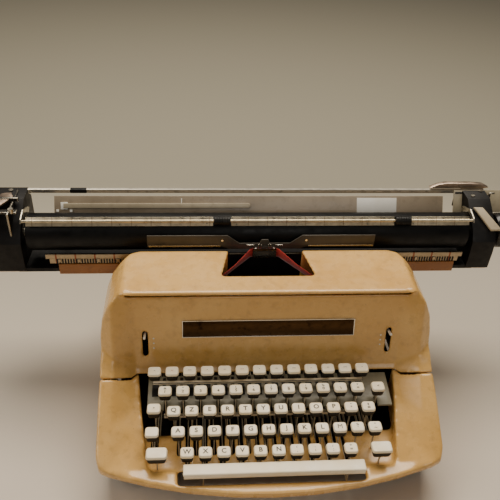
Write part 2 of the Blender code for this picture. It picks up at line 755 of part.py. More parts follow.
tan = makeMaterial("tan_enamel", (0.62, 0.40, 0.18), 0.3)
cream = makeMaterial("key_cream", (0.84, 0.72, 0.5), 0.35)
steel = makeMaterial("steel", (0.6, 0.57, 0.5), 0.3, 1.0)
black = makeMaterial("black_enamel", (0.03, 0.028, 0.025), 0.4)
rubberBlack = makeMaterial("black_rubber", (0.02, 0.02, 0.02), 0.6)
olive = makeMaterial("olive_enamel", (0.2, 0.17, 0.1), 0.4)
bronze = makeMaterial("nameplate_bronze", (0.1, 0.06, 0.03), 0.4)
red = makeMaterial("ribbon_red", (0.3, 0.02, 0.02), 0.8)

makeLowerCasing(tan)
makeTopHood(tan)
makeNameplate(bronze)
makePanelLever("colour_lever", -slotX, steel)
makePanelLever("touch_lever", slotX, steel)
makeChassis(black)
makeCombPlate(olive)
makeLetterKeys(cream)
makeOtherKeys(cream)
makePunctuationKeys(cream)
makeSpaceBar(cream)
makeSegment(black)
makeSpool("ribbon_spool_left", -105, black)
makeSpool("ribbon_spool_right", 105, black)
makeRibbon(red)
makeCardHolder(black)
makeCarriageRail(steel)
makeCarriageFrame(black)
makeScaleBar(steel)
makePlaten(rubberBlack, black)
makePaperTable(olive)
makeSupportArm(steel)
makeBail(steel)
makeBailRoller("left", rubberBlack)
makeBailRoller("right", rubberBlack)
makeReturnLever(steel)
makeReleaseLevers(olive, steel)
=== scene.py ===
import math
import bmesh
import bpy
from mathutils import Matrix, Vector


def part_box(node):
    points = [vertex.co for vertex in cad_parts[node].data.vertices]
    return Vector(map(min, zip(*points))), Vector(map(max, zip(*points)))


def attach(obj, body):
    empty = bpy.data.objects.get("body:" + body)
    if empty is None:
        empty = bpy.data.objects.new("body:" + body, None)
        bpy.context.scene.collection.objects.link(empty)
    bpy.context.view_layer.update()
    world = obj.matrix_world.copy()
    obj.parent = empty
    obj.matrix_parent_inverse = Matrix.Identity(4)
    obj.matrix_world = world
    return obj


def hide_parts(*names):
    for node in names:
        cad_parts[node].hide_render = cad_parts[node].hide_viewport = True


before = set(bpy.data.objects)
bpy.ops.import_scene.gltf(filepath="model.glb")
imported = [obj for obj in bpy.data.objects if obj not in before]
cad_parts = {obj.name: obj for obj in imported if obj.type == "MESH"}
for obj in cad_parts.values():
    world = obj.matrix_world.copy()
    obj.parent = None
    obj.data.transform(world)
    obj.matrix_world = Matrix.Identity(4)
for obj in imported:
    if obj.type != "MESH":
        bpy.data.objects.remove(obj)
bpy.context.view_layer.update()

casingLow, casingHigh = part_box("lower_casing")
noseDepth = 0.038                                   # from the casing's nose back to the bottom letters
middleX = (casingLow[0] + casingHigh[0]) / 2
frontY = casingLow[1] + noseDepth


def place(x, y, z):
    # machine millimetres to metres: right of the keyboard's middle, behind the bottom row, above the table
    return Vector((middleX + x / 1000, frontY + y / 1000, z / 1000))


def toLinear(code):
    channels = [int(code[i:i + 2], 16) / 255 for i in (1, 3, 5)]
    return [c / 12.92 if c <= 0.04045 else ((c + 0.055) / 1.055) ** 2.4 for c in channels] + [1.0]


def connect(tree, node, links):
    for name, socket in links.items():
        tree.links.new(socket, node.inputs[name])


def addNode(tree, kind, output, settings, links, **attributes):
    # one node with its settings and links; gives back the output that is wanted
    node = tree.nodes.new("ShaderNode" + kind)
    for name, value in attributes.items():
        setattr(node, name, value)
    for name, value in settings.items():
        node.inputs[name].default_value = value
    connect(tree, node, links)
    return node.outputs[output]


def startMaterial(name, roughness, metallic=0.0):
    material = bpy.data.materials.new(name)
    material.use_nodes = True
    tree = material.node_tree
    shader = tree.nodes["Principled BSDF"]
    shader.inputs["Roughness"].default_value = roughness
    shader.inputs["Metallic"].default_value = metallic
    coords = addNode(tree, "TexCoord", "Object", {}, {})
    return material, tree, shader, coords


def patches(size, detail=3.0):
    # settings of a noise whose patches are this many millimetres across
    return {"Scale": 1000 / size, "Detail": detail, "Roughness": 0.55}


def span(low, high, start=0.0, end=1.0):
    # settings that carry low..high over to start..end
    return {"From Min": low, "From Max": high, "To Min": start, "To Max": end}


def colourPair(light, dark):
    # settings of a colour mix, which has its two colours at sockets 6 and 7 and its result at 2
    return {6: toLinear(light), 7: toLinear(dark)}


def enamel(name, light, dark, worn, roughness, coat):
    # baked enamel on sheet steel: faint orange peel under a clear gloss, slow shifts of tone and some grime
    material, tree, shader, coords = startMaterial(name, roughness)
    spot = {"Vector": coords}
    tone = addNode(tree, "TexNoise", "Fac", patches(70), spot)
    tone = addNode(tree, "MapRange", "Result", span(0.35, 0.65), {"Value": tone})
    grime = addNode(tree, "TexNoise", "Fac", patches(9, 6), spot)
    grime = addNode(tree, "MapRange", "Result", span(0.52, 0.75, 0.0, 0.35), {"Value": grime})
    chips = addNode(tree, "TexNoise", "Fac", patches(2.2, 2), spot)
    chips = addNode(tree, "MapRange", "Result", span(0.735, 0.76, 0.0, 0.8), {"Value": chips})
    colour = addNode(tree, "Mix", 2, colourPair(light, dark), {0: tone}, data_type="RGBA")
    colour = addNode(tree, "Mix", 2, {7: toLinear(worn)}, {0: grime, 6: colour}, data_type="RGBA")
    colour = addNode(tree, "Mix", 2, {7: toLinear(worn)}, {0: chips, 6: colour}, data_type="RGBA")
    gloss = addNode(tree, "TexNoise", "Fac", patches(14, 5), spot)
    dullest = roughness + 0.12
    gloss = addNode(tree, "MapRange", "Result", span(0.3, 0.7, roughness - 0.06, dullest), {"Value": gloss})
    peel = addNode(tree, "TexNoise", "Fac", patches(1.6, 2), spot)
    peel = addNode(tree, "Bump", "Normal", {"Strength": 0.12, "Distance": 0.00008}, {"Height": peel})
    connect(tree, shader, {"Base Color": colour, "Roughness": gloss, "Normal": peel})
    shader.inputs["Coat Weight"].default_value = coat
    shader.inputs["Coat Roughness"].default_value = 0.12
    return material


def crinkleEnamel(name, light, dark, size):
    # wrinkle enamel: it dries into small ridges that break up every highlight
    material, tree, shader, coords = startMaterial(name, 0.5)
    shader.inputs["Specular IOR Level"].default_value = 0.3
    spot = {"Vector": coords}
    tone = addNode(tree, "TexNoise", "Fac", patches(30, 5), spot)
    tone = addNode(tree, "MapRange", "Result", span(0.35, 0.7), {"Value": tone})
    dust = addNode(tree, "TexNoise", "Fac", patches(5, 6), spot)
    dust = addNode(tree, "MapRange", "Result", span(0.55, 0.8, 0.0, 0.25), {"Value": dust})
    colour = addNode(tree, "Mix", 2, colourPair(light, dark), {0: tone}, data_type="RGBA")
    colour = addNode(tree, "Mix", 2, {7: toLinear("#3a3226")}, {0: dust, 6: colour}, data_type="RGBA")
    gloss = addNode(tree, "TexNoise", "Fac", patches(8), spot)
    gloss = addNode(tree, "MapRange", "Result", span(0.3, 0.7, 0.42, 0.62), {"Value": gloss})
    cells = {"Scale": 1000 / size}
    ridges = addNode(tree, "TexVoronoi", "Distance", cells, spot, feature="DISTANCE_TO_EDGE")
    ridges = addNode(tree, "Bump", "Normal", {"Strength": 0.25, "Distance": 0.00012}, {"Height": ridges})
    connect(tree, shader, {"Base Color": colour, "Roughness": gloss, "Normal": ridges})
    return material


def platedSteel(name, light, dark, roughness, along=(0.02, 1.0, 1.0)):
    # nickel plate over brushed steel: fine lines along the stroke, with dull spots where the plate has worn
    material, tree, shader, coords = startMaterial(name, roughness, 1.0)
    dull = addNode(tree, "TexNoise", "Fac", patches(6, 6), {"Vector": coords})
    spots = addNode(tree, "MapRange", "Result", span(0.55, 0.75), {"Value": dull})
    colour = addNode(tree, "Mix", 2, colourPair(light, dark), {0: spots}, data_type="RGBA")
    dullest = roughness + 0.25
    gloss = addNode(tree, "MapRange", "Result", span(0.4, 0.75, roughness, dullest), {"Value": dull})
    stroke = addNode(tree, "Mapping", "Vector", {"Scale": along}, {"Vector": coords})
    lines = addNode(tree, "TexNoise", "Fac", patches(0.5, 4), {"Vector": stroke})
    lines = addNode(tree, "Bump", "Normal", {"Strength": 0.12, "Distance": 0.00005}, {"Height": lines})
    connect(tree, shader, {"Base Color": colour, "Roughness": gloss, "Normal": lines})
    return material


def mouldedPlastic(name, light, dark, roughness):
    # moulded plastic: smooth, a little uneven in tone where it has aged, with a trace of mould texture
    material, tree, shader, coords = startMaterial(name, roughness)
    spot = {"Vector": coords}
    tone = addNode(tree, "TexNoise", "Fac", patches(24, 4), spot)
    tone = addNode(tree, "MapRange", "Result", span(0.35, 0.7), {"Value": tone})
    colour = addNode(tree, "Mix", 2, colourPair(light, dark), {0: tone}, data_type="RGBA")
    gloss = addNode(tree, "TexNoise", "Fac", patches(5, 5), spot)
    dullest = roughness + 0.12
    gloss = addNode(tree, "MapRange", "Result", span(0.3, 0.7, roughness - 0.05, dullest), {"Value": gloss})
    grain = addNode(tree, "TexNoise", "Fac", patches(0.7, 2), spot)
    grain = addNode(tree, "Bump", "Normal", {"Strength": 0.06, "Distance": 0.00005}, {"Height": grain})
    connect(tree, shader, {"Base Color": colour, "Roughness": gloss, "Normal": grain})
    return material


def groundRubber(name, light, dark):
    # hard rubber, ground round: dull black with a faint chalky bloom in streaks around it
    material, tree, shader, coords = startMaterial(name, 0.5)
    shader.inputs["Specular IOR Level"].default_value = 0.25
    around = addNode(tree, "Mapping", "Vector", {"Scale": (1.0, 0.25, 0.25)}, {"Vector": coords})
    bloom = addNode(tree, "TexNoise", "Fac", patches(12, 6), {"Vector": around})
    bloom = addNode(tree, "MapRange", "Result", span(0.5, 0.78, 0.0, 0.6), {"Value": bloom})
    colour = addNode(tree, "Mix", 2, colourPair(dark, light), {0: bloom}, data_type="RGBA")
    gloss = addNode(tree, "TexNoise", "Fac", patches(10, 5), {"Vector": coords})
    gloss = addNode(tree, "MapRange", "Result", span(0.3, 0.7, 0.34, 0.6), {"Value": gloss})
    grit = addNode(tree, "TexNoise", "Fac", patches(0.6), {"Vector": coords})
    grit = addNode(tree, "Bump", "Normal", {"Strength": 0.15, "Distance": 0.00006}, {"Height": grit})
    connect(tree, shader, {"Base Color": colour, "Roughness": gloss, "Normal": grit})
    return material


def wovenRibbon(name, light, dark):
    # inked cotton ribbon: a plain weave, drawn a little coarser than real so that it shows
    material, tree, shader, coords = startMaterial(name, 0.85)
    spot = {"Vector": coords}
    tone = addNode(tree, "TexNoise", "Fac", patches(4, 4), spot)
    tone = addNode(tree, "MapRange", "Result", span(0.35, 0.7), {"Value": tone})
    colour = addNode(tree, "Mix", 2, colourPair(light, dark), {0: tone}, data_type="RGBA")
    weave = {"Scale": 1000 / 2.4, "Distortion": 0.4}
    threads = addNode(tree, "TexWave", "Fac", weave, spot, bands_direction="DIAGONAL")
    threads = addNode(tree, "Bump", "Normal", {"Strength": 0.4, "Distance": 0.0001}, {"Height": threads})
    connect(tree, shader, {"Base Color": colour, "Normal": threads})
    shader.inputs["Sheen Weight"].default_value = 0.3
    return material


def printedInk(name, colour):
    # printing ink: thin and matt, a little patchy where fingers have rubbed it
    material, tree, shader, coords = startMaterial(name, 0.6)
    rubbed = addNode(tree, "TexNoise", "Fac", patches(2, 4), {"Vector": coords})
    rubbed = addNode(tree, "MapRange", "Result", span(0.4, 0.75, 0.0, 0.25), {"Value": rubbed})
    tint = addNode(tree, "Mix", 2, colourPair(colour, "#7d6f58"), {0: rubbed}, data_type="RGBA")
    connect(tree, shader, {"Base Color": tint})
    return material


def scaleMetal(name, ground, mark, pitch, width):
    # etched scale: satin plated strip with filled marks at a regular pitch along it
    material, tree, shader, coords = startMaterial(name, 0.32, 1.0)
    along = addNode(tree, "SeparateXYZ", "X", {}, {"Vector": coords})
    phase = addNode(tree, "Math", "Value", {1: pitch / 1000, 2: 0.0}, {0: along}, operation="WRAP")
    isMark = addNode(tree, "Math", "Value", {1: width / 1000}, {0: phase}, operation="LESS_THAN")
    soil = addNode(tree, "TexNoise", "Fac", patches(7, 5), {"Vector": coords})
    soil = addNode(tree, "MapRange", "Result", span(0.45, 0.8, 0.0, 0.6), {"Value": soil})
    colour = addNode(tree, "Mix", 2, colourPair(ground, "#8f7f63"), {0: soil}, data_type="RGBA")
    colour = addNode(tree, "Mix", 2, {7: toLinear(mark)}, {0: isMark, 6: colour}, data_type="RGBA")
    gloss = addNode(tree, "TexNoise", "Fac", patches(5, 5), {"Vector": coords})
    gloss = addNode(tree, "MapRange", "Result", span(0.3, 0.7, 0.25, 0.45), {"Value": gloss})
    stroke = addNode(tree, "Mapping", "Vector", {"Scale": (0.02, 1.0, 1.0)}, {"Vector": coords})
    lines = addNode(tree, "TexNoise", "Fac", patches(0.4), {"Vector": stroke})
    lines = addNode(tree, "Bump", "Normal", {"Strength": 0.1, "Distance": 0.00004}, {"Height": lines})
    connect(tree, shader, {"Base Color": colour, "Roughness": gloss, "Normal": lines})
    return material


print("materials")
# the warm glossy tan of casing and hood
tanEnamel = enamel("tan_enamel", "#deb169", "#d4a45a", "#8f6a38", 0.24, 0.35)
# painted shade: the tan of the tray under the carriage, painted browner and darker for the shade it sits in
shadedTrayEnamel = enamel("tray_enamel_painted_shade", "#9a5f1c", "#824c12", "#4a2f12", 0.3, 0.15)
# grey olive with a soft shine, behind the platen
oliveEnamel = enamel("olive_enamel", "#a2917a", "#8d7e68", "#5a4f3c", 0.3, 0.2)
# paler olive of the arm and the small lever
paleOlive = enamel("pale_olive_enamel", "#b8aa8e", "#a3967c", "#6c604c", 0.34, 0.15)
# the palest, on the cover at the right end
coverEnamel = enamel("cover_enamel", "#c2b596", "#b1a383", "#7d7058", 0.34, 0.15)
# dull green grey under the number keys
combEnamel = enamel("comb_enamel", "#8b8570", "#7a735c", "#4a4434", 0.4, 0.1)
# painted shade: wings at the printing point, painted dark grey brown for the dark of the opening
shadedGuideEnamel = enamel("guide_enamel_painted_shade", "#4a4338", "#3c362c", "#241f18", 0.4, 0.1)
# near black with broken highlights, on the carriage
blackEnamel = crinkleEnamel("black_crinkle_enamel", "#0a0705", "#050302", 1.4)
# near black enamel of the inner parts, and painted shade that fills every opening
blackAndPaintedShade = crinkleEnamel("black_enamel_and_painted_shade", "#0a0806", "#050403", 2.0)
# soft grey bar without a sharp highlight
satinAluminium = platedSteel("satin_aluminium", "#cfc8ba", "#a89f8e", 0.42)
# bright small fittings, dulled in spots
steel = platedSteel("nickel_steel", "#b9b2a2", "#7f7665", 0.24)
# dark oiled levers between the keys
leverSteel = platedSteel("lever_steel", "#5a5246", "#2c2721", 0.42, (1.0, 0.02, 1.0))
# the sharpest glints: plate rim and type guide
chrome = platedSteel("bright_chrome", "#d6d1c6", "#a79e8e", 0.12)
# a warm cast on the flat levers
pinkSteel = platedSteel("warm_lever_steel", "#b7a390", "#8a7663", 0.32)
# deep brown metal field of the nameplate
plateBronze = platedSteel("nameplate_bronze", "#4a3622", "#2d2014", 0.4)
# creamy ivory that has yellowed unevenly
keyCream = mouldedPlastic("key_ivory_plastic", "#f6e9cd", "#efdcb4", 0.3)
# ivory tips of the setting levers
leverIvory = mouldedPlastic("lever_ivory_plastic", "#efe6d4", "#ddd0b8", 0.3)
# dark matt body below each key's cap
keySkirt = mouldedPlastic("key_skirt_plastic", "#211a0f", "#161008", 0.6)
# smooth black with a clear highlight
knobPlastic = mouldedPlastic("knob_black_plastic", "#16130f", "#0c0a08", 0.25)
# blank white label, matt
paper = mouldedPlastic("label_paper", "#f4f1e8", "#e9e4d6", 0.7)
# dusty black of the small rollers
rollerRubber = groundRubber("roller_rubber", "#2a2723", "#0e0d0b")
# deepest black, on the platen
platenRubber = groundRubber("platen_rubber", "#0c0c08", "#030303")
# matt red that catches the eye in the opening
ribbonRed = wovenRibbon("inked_ribbon", "#d23a2c", "#a3201c")
# black letters on the caps
ink = printedInk("legend_ink", "#17120c")
# faded red marks in the top bank
redInk = printedInk("legend_red_ink", "#b0563f")
# small white dots and lines
whiteInk = printedInk("white_marking", "#e8e2d2")
# pale strip with brown graduations
bailScale = scaleMetal("bail_scale", "#d8ccb0", "#b3a184", 22.5, 1.0)
# duller strip with reddish graduations
frontScaleMetal = scaleMetal("front_scale_metal", "#a2927a", "#84503c", 22.5, 2.0)


def finishPiece(name, bm, materials, body, replaces=(), sharp=35):
    bmesh.ops.remove_doubles(bm, verts=bm.verts, dist=0.000005)
    bmesh.ops.recalc_face_normals(bm, faces=bm.faces)
    mesh = bpy.data.meshes.new(name)
    bm.to_mesh(mesh)
    bm.free()
    mesh.shade_smooth()
    mesh.set_sharp_from_angle(angle=math.radians(sharp))
    for material in materials:
        mesh.materials.append(material)
    piece = bpy.data.objects.new(name, mesh)
    bpy.context.scene.collection.objects.link(piece)
    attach(piece, body)
    if replaces:
        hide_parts(*replaces)
    return piece


def paint(faces, index):
    for face in faces:
        face.material_index = index


def roundEdges(bm, edges, radius, segments, clamp=True):
    made = bmesh.ops.bevel(bm, geom=edges, offset=radius / 1000, segments=segments, profile=0.5,
                           affect="EDGES", material=-1, clamp_overlap=clamp)
    return made["faces"]


def addBlock(bm, xs, ys, zs, bevel=0.0, segments=2, index=0):
    # a block between two corners in machine millimetres, with its edges rounded
    low, high = place(xs[0], ys[0], zs[0]), place(xs[1], ys[1], zs[1])
    size = Matrix.LocRotScale((low + high) / 2, None, high - low)
    verts = bmesh.ops.create_cube(bm, size=1.0, matrix=size)["verts"]
    faces = set(f for v in verts for f in v.link_faces)
    if bevel > 0:
        edges = list(set(e for v in verts for e in v.link_edges))
        faces = set(roundEdges(bm, edges, bevel, segments)) | set(f for f in faces if f.is_valid)
        verts = list(set(v for f in faces for v in f.verts))
    paint(faces, index)
    return verts


def addTurned(bm, profile, y, z, steps=48, index=0):
    # spin an outline of (radius, x) pairs in millimetres about an axis along x
    verts = [bm.verts.new(place(x, y, z + radius)) for radius, x in profile]
    edges = [bm.edges.new(pair) for pair in zip(verts, verts[1:])]
    before = set(bm.faces)
    bmesh.ops.spin(bm, geom=verts + edges, cent=place(0, y, z), axis=(1, 0, 0), angle=2 * math.pi,
                   steps=steps, use_merge=True)
    bmesh.ops.remove_doubles(bm, verts=bm.verts, dist=0.000005)
    paint([f for f in bm.faces if f not in before], index)


def addPost(bm, centre, radius, low, high, steps=20, index=0, axis="z"):
    # a short round post along z or y
    turn = Matrix.Identity(4) if axis == "z" else Matrix.Rotation(math.pi / 2, 4, "X")
    half = (low + high) / 2000
    offset = Vector((0, 0, half)) if axis == "z" else Vector((0, half, 0))
    made = bmesh.ops.create_cone(
        bm, cap_ends=True, segments=steps, radius1=radius / 1000, radius2=radius / 1000,
        depth=abs(high - low) / 1000, matrix=Matrix.Translation(place(*centre) + offset) @ turn)
    faces = set(f for v in made["verts"] for f in v.link_faces)
    paint(faces, index)
    return made["verts"]


skin = {
    "casingVoxel": 1.9, "hoodVoxel": 1.6, "rounds": 5, "cheekRounds": 16,
    "cheekSides": (0.150, 0.168), "cheekFoot": 0.045, "cheekDepth": 0.135, "cheekSlope": 0.2,
}


def smoothVerts(bm, verts, rounds):
    for i in range(rounds):
        bmesh.ops.smooth_vert(bm, verts=verts, factor=0.5, use_axis_x=True, use_axis_y=True, use_axis_z=True)


def softenNode(node, name, material, body, voxel):
    # a CAD solid again as one fine skin with soft pressed edges
    bm = bmesh.new()
    bm.from_mesh(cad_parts[node].data)
    bmesh.ops.remove_doubles(bm, verts=bm.verts, dist=0.00001)
    mesh = bpy.data.meshes.new(name + "_start")
    bm.to_mesh(mesh)
    bm.free()
    source = bpy.data.objects.new(name + "_start", mesh)
    bpy.context.scene.collection.objects.link(source)
    remesh = source.modifiers.new("skin", "REMESH")
    remesh.mode = "VOXEL"
    remesh.voxel_size = voxel / 1000
    depsgraph = bpy.context.evaluated_depsgraph_get()
    bm = bmesh.new()
    bm.from_mesh(source.evaluated_get(depsgraph).to_mesh())
    bpy.data.objects.remove(source, do_unlink=True)
    smoothVerts(bm, bm.verts, skin["rounds"])
    bm.normal_update()
    near, far = skin["cheekSides"]                         # the broad sloping cheeks have no flats
    cheeks = [v for v in bm.verts if v.normal.z > skin["cheekSlope"] and near < abs(v.co.x - middleX) < far
              and v.co.z > skin["cheekFoot"] and v.co.y < frontY + skin["cheekDepth"]]
    smoothVerts(bm, cheeks, skin["cheekRounds"])
    print(name, len(bm.faces), "faces")
    return finishPiece(name, bm, [material], body, replaces=(node,), sharp=60)


print("casing")
softenNode("lower_casing", "lower_casing_skin", tanEnamel, "casing", skin["casingVoxel"])
softenNode("top_hood", "hood_skin", tanEnamel, "hood", skin["hoodVoxel"])


print("keys")
keyShape = {
    "pitch": 19.05, "step": 19.05, "rise": 10.0, "top": 72.0,
    "half": (7.2, 6.3), "wideHalf": (11.1, 6.9), "corner": 3.1, "lip": 1.0, "cap": 2.9, "skirt": 9.2,
    "tilt": -2.0, "dish": ((0.8, 0.16), (0.62, 0.14), (0.55, 0.08)),
    "legend": 7.6, "smallLegend": 4.2, "markUpper": 4.7, "markLower": 5.2, "legendDip": 0.2, "bold": 0.018,
}
legendCache = {}


def legendMesh(text):
    # one printed character or mark, made a mesh once and copied
    if text not in legendCache:
        curve = bpy.data.curves.new("legend", "FONT")
        curve.body = text
        curve.align_x = "CENTER"
        curve.align_y = "CENTER"
        curve.extrude = 0.006
        curve.offset = 0.0 if text == "M" else keyShape["bold"]     # bold strokes would fill an M
        curve.resolution_u = 3
        holder = bpy.data.objects.new("legend", curve)
        bpy.context.scene.collection.objects.link(holder)
        depsgraph = bpy.context.evaluated_depsgraph_get()
        legendCache[text] = bpy.data.meshes.new_from_object(holder.evaluated_get(depsgraph))
        bpy.data.objects.remove(holder, do_unlink=True)
    return legendCache[text]


def addLegend(bm, text, x, y, z, size, index):
    before = set(bm.verts)
    bm.from_mesh(legendMesh(text))
    verts = [v for v in bm.verts if v not in before]
    matrix = Matrix.Translation(place(x, y, z)) @ Matrix.Scale(size / 1000, 4)
    bmesh.ops.transform(bm, matrix=matrix, verts=verts)
    paint(set(f for v in verts for f in v.link_faces), index)
    return verts


def highestFace(bm, older):
    faces = set(f for v in bm.verts if v not in older for f in v.link_faces)
    return max(faces, key=lambda f: f.calc_center_median().z)


def addKey(bm, x, y, top, legends=(), half=None, legendIndex=3):
    # cap, skirt and stem of one key: materials are cap, skirt, metal, ink
    half = half or keyShape["half"]
    start = set(bm.verts)
    low = top - keyShape["cap"]
    atTop = Matrix.Translation(-place(x, y, top))
    size = Vector((2 * half[0], 2 * half[1], keyShape["cap"])) / 1000
    box = Matrix.LocRotScale(place(x, y, (low + top) / 2), None, size)
    verts = bmesh.ops.create_cube(bm, size=1.0, matrix=box)["verts"]
    upright = [e for e in set(e for v in verts for e in v.link_edges)
               if abs(e.verts[0].co.z - e.verts[1].co.z) > 0.001]
    roundEdges(bm, upright, keyShape["corner"], 5, clamp=False)
    lid = highestFace(bm, start)
    bmesh.ops.scale(bm, vec=(0.93, 0.93, 1), verts=lid.verts, space=atTop)
    roundEdges(bm, list(lid.edges), keyShape["lip"], 4, clamp=False)
    lid = highestFace(bm, start)
    for share, dip in keyShape["dish"]:
        lid = bmesh.ops.extrude_discrete_faces(bm, faces=[lid])["faces"][0]
        bmesh.ops.scale(bm, vec=(share, share, 1), verts=lid.verts, space=atTop)
        bmesh.ops.translate(bm, vec=(0, 0, -dip / 1000), verts=lid.verts)
    capFaces = set(f for v in bm.verts if v not in start for f in v.link_faces)
    paint(capFaces, 0)

    capVerts = set(bm.verts)
    skirtLow = low - keyShape["skirt"]
    size = Vector((2 * half[0] - 0.7, 2 * half[1] - 0.7, keyShape["skirt"])) / 1000
    box = Matrix.LocRotScale(place(x, y, (skirtLow + low) / 2), None, size)
    verts = bmesh.ops.create_cube(bm, size=1.0, matrix=box)["verts"]
    lower = [v for v in verts if v.co.z < place(0, 0, low - 1).z]
    bmesh.ops.scale(bm, vec=(0.84, 0.92, 1), verts=lower, space=Matrix.Translation(-place(x, y, 0)))
    roundEdges(bm, list(set(e for v in verts for e in v.link_edges)), 2.6, 3, clamp=False)
    paint(set(f for v in bm.verts if v not in capVerts for f in v.link_faces), 1)

    tilt = Matrix.Rotation(math.radians(-keyShape["tilt"]), 3, "X")
    own = [v for v in bm.verts if v not in start]
    for text, dx, dy, size in legends:
        own += addLegend(bm, text, x + dx, y + dy, top - keyShape["legendDip"], size, legendIndex)
    bmesh.ops.rotate(bm, cent=place(x, y, low), matrix=tilt, verts=own)
    addBlock(bm, (x - 0.8, x + 0.8), (y - 2, y + 2), (skirtLow - 2, skirtLow + 1.5), 0, index=2)


def addLever(bm, x, y, top):
    # stem down to the flat lever, and the lever back to its fork
    addBlock(bm, (x - 0.5, x + 0.5), (y - 1.6, y + 1.6), (31.2, top), 0.3, 1, index=2)
    addBlock(bm, (x - 0.75, x + 0.75), (y + 1.0, 196), (31.2, 35.8), 0.3, 1, index=2)
    addBlock(bm, (x - 0.75, x + 0.75), (195.5, 201.6), (27.8, 39.2), 0.4, 1, index=2)


keyMaterials = [keyCream, keySkirt, leverSteel, ink, redInk]
letterRows = {
    0: (-90.4, "WXCVBN"),
    1: (-99.9, "ASDFGHJKLM"),
    2: (-104.7, "QZERTYUIOP"),
}
skirtDepth = keyShape["cap"] + keyShape["skirt"]


def rowPlace(number):
    return number * keyShape["step"], keyShape["top"] + number * keyShape["rise"]


for number, (first, letters) in letterRows.items():
    y, top = rowPlace(number)
    for i, letter in enumerate(letters):
        x = first + i * keyShape["pitch"]
        node = "key_" + letter.lower()
        bm = bmesh.new()
        addKey(bm, x, y, top, [(letter, 0, 0.2, keyShape["legend"])])
        addLever(bm, x, y, top - skirtDepth - 1)
        finishPiece(node + "_cap", bm, keyMaterials, node, replaces=(node,))

wideHalf = keyShape["wideHalf"]
singleKeys = {
    "shift_key_left": (-121.6, 0, 72, wideHalf, [], -121.6),
    "shift_key_right": (113.9, 0, 72, wideHalf, [], 113.9),
    "shift_lock_key": (-127.0, 19.05, 82, None, [], -127.0),
    "margin_key": (-125.5, 40.1, 94, None, [("=", 0, 0, 3.4)], -124.3),
    "backspace_key": (118.1, 57.15, 102, None, [("<", 0, 0, 4.2)], 118.1),
}
for node, (x, y, top, half, legends, leverX) in singleKeys.items():
    bm = bmesh.new()
    addKey(bm, x, y, top, legends, half)
    addLever(bm, leverX, y, top - skirtDepth - 1)
    finishPiece(node + "_cap", bm, keyMaterials, node, replaces=(node,))

digits = ["&1", "*2", '"3', "'4", "(5", "-6", ")7", "_8", "/9", "%0", "°)", "+="]
bm = bmesh.new()
y, top = rowPlace(3)
for i, pair in enumerate(digits):
    x = -114.2 + i * keyShape["pitch"]
    marks = [(pair[0], 0, 2.7, keyShape["markUpper"]), (pair[1], 0, -2.0, keyShape["markLower"])]
    addKey(bm, x, y, top, marks)
    addBlock(bm, (x - 0.75, x + 0.75), (y - 1.9, y + 1.9), (60, top - skirtDepth), 0.3, 1, index=2)
addBlock(bm, (-117, 98.2), (y - 1.9, y + 1.9), (58.2, 62.8), 0.6, index=2)
finishPiece("number_keys_caps", bm, keyMaterials, "number_key_row",
            replaces=("number_key_row",))

bm = bmesh.new()
y, top = rowPlace(4)
for i in range(13):
    x = -125.9 + i * keyShape["pitch"]
    isRed = i % 4 == 1
    marks = [("-" * (1 + i % 3), 0, 0.6, keyShape["smallLegend"])]
    addKey(bm, x, y, top, marks, legendIndex=4 if isRed else 3)
addBlock(bm, (-128.7, 105.5), (y - 1.9, y + 1.9), (91.2, 93.8), 0.5, index=1)
finishPiece("tabulator_keys_caps", bm, keyMaterials, "tabulator_key_row",
            replaces=("tabulator_key_row",))

punctuation = [(23.9, 0, "?,"), (42.95, 0, ".;"), (62.0, 0, "/:"), (81.05, 0, "+="),
               (90.6, 1, "%'"), (109.65, 1, "^~"), (85.8, 2, '^"'), (104.85, 2, "$#")]
bm = bmesh.new()
for x, number, pair in punctuation:
    y, top = rowPlace(number)
    marks = [(pair[0], 0, 2.7, keyShape["markUpper"]), (pair[1], 0, -2.0, keyShape["markLower"])]
    addKey(bm, x, y, top, marks)
    addLever(bm, x, y, top - skirtDepth - 1)
addBlock(bm, (22.6, 111), (185.2, 190.8), (22.2, 32), 0.5, index=2)
finishPiece("punctuation_keys_caps", bm, keyMaterials, "punctuation_keys",
            replaces=("punctuation_keys",))

spaceBar = {"x": (-94.4, 94.4), "y": (-22.9, -9.1), "top": 64.4, "creamDepth": 3.4, "low": 56.6,
            "arms": (-73.75, 78.65)}
bm = bmesh.new()
split = spaceBar["top"] - spaceBar["creamDepth"]
left, right = spaceBar["x"]
front, rear = spaceBar["y"]
addBlock(bm, (left, right), (front, rear), (split, spaceBar["top"]), 1.5, 4, index=0)
addBlock(bm, (left + 0.5, right - 0.5), (front + 0.5, rear - 0.5), (spaceBar["low"], split + 1.2), 0.5,
         index=1)
for x in spaceBar["arms"]:
    addBlock(bm, (x - 0.75, x + 0.75), (-13, -9.4), (31.2, 58), 0.3, 1, index=2)
    addBlock(bm, (x - 0.75, x + 0.75), (-10, 196), (31.2, 35.8), 0.3, 1, index=2)
finishPiece("space_bar_cap", bm, keyMaterials, "space_bar", replaces=("space_bar",))


def refineNode(node, name, materials, body, edge=0.5, segments=2, chooser=None):
    # the frame's solid again, flat faces merged and edges rounded; chooser gives each face its finish
    bm = bmesh.new()
    bm.from_mesh(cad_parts[node].data)
    bmesh.ops.remove_doubles(bm, verts=bm.verts, dist=0.00001)
    bmesh.ops.recalc_face_normals(bm, faces=bm.faces)
    bmesh.ops.dissolve_limit(bm, angle_limit=math.radians(1), verts=bm.verts, edges=bm.edges)
    if chooser is not None:
        for face in bm.faces:
            centre = face.calc_center_median()
            at = ((centre.x - middleX) * 1000, (centre.y - frontY) * 1000, centre.z * 1000)
            face.material_index = chooser(at, face)
    edges = [e for e in bm.edges if len(e.link_faces) == 2 and e.calc_face_angle(0) > math.radians(28)]
    roundEdges(bm, edges, edge, segments)
    return finishPiece(name, bm, materials, body, replaces=(node,))


def keepNode(node, material):
    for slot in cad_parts[node].material_slots:
        slot.material = material


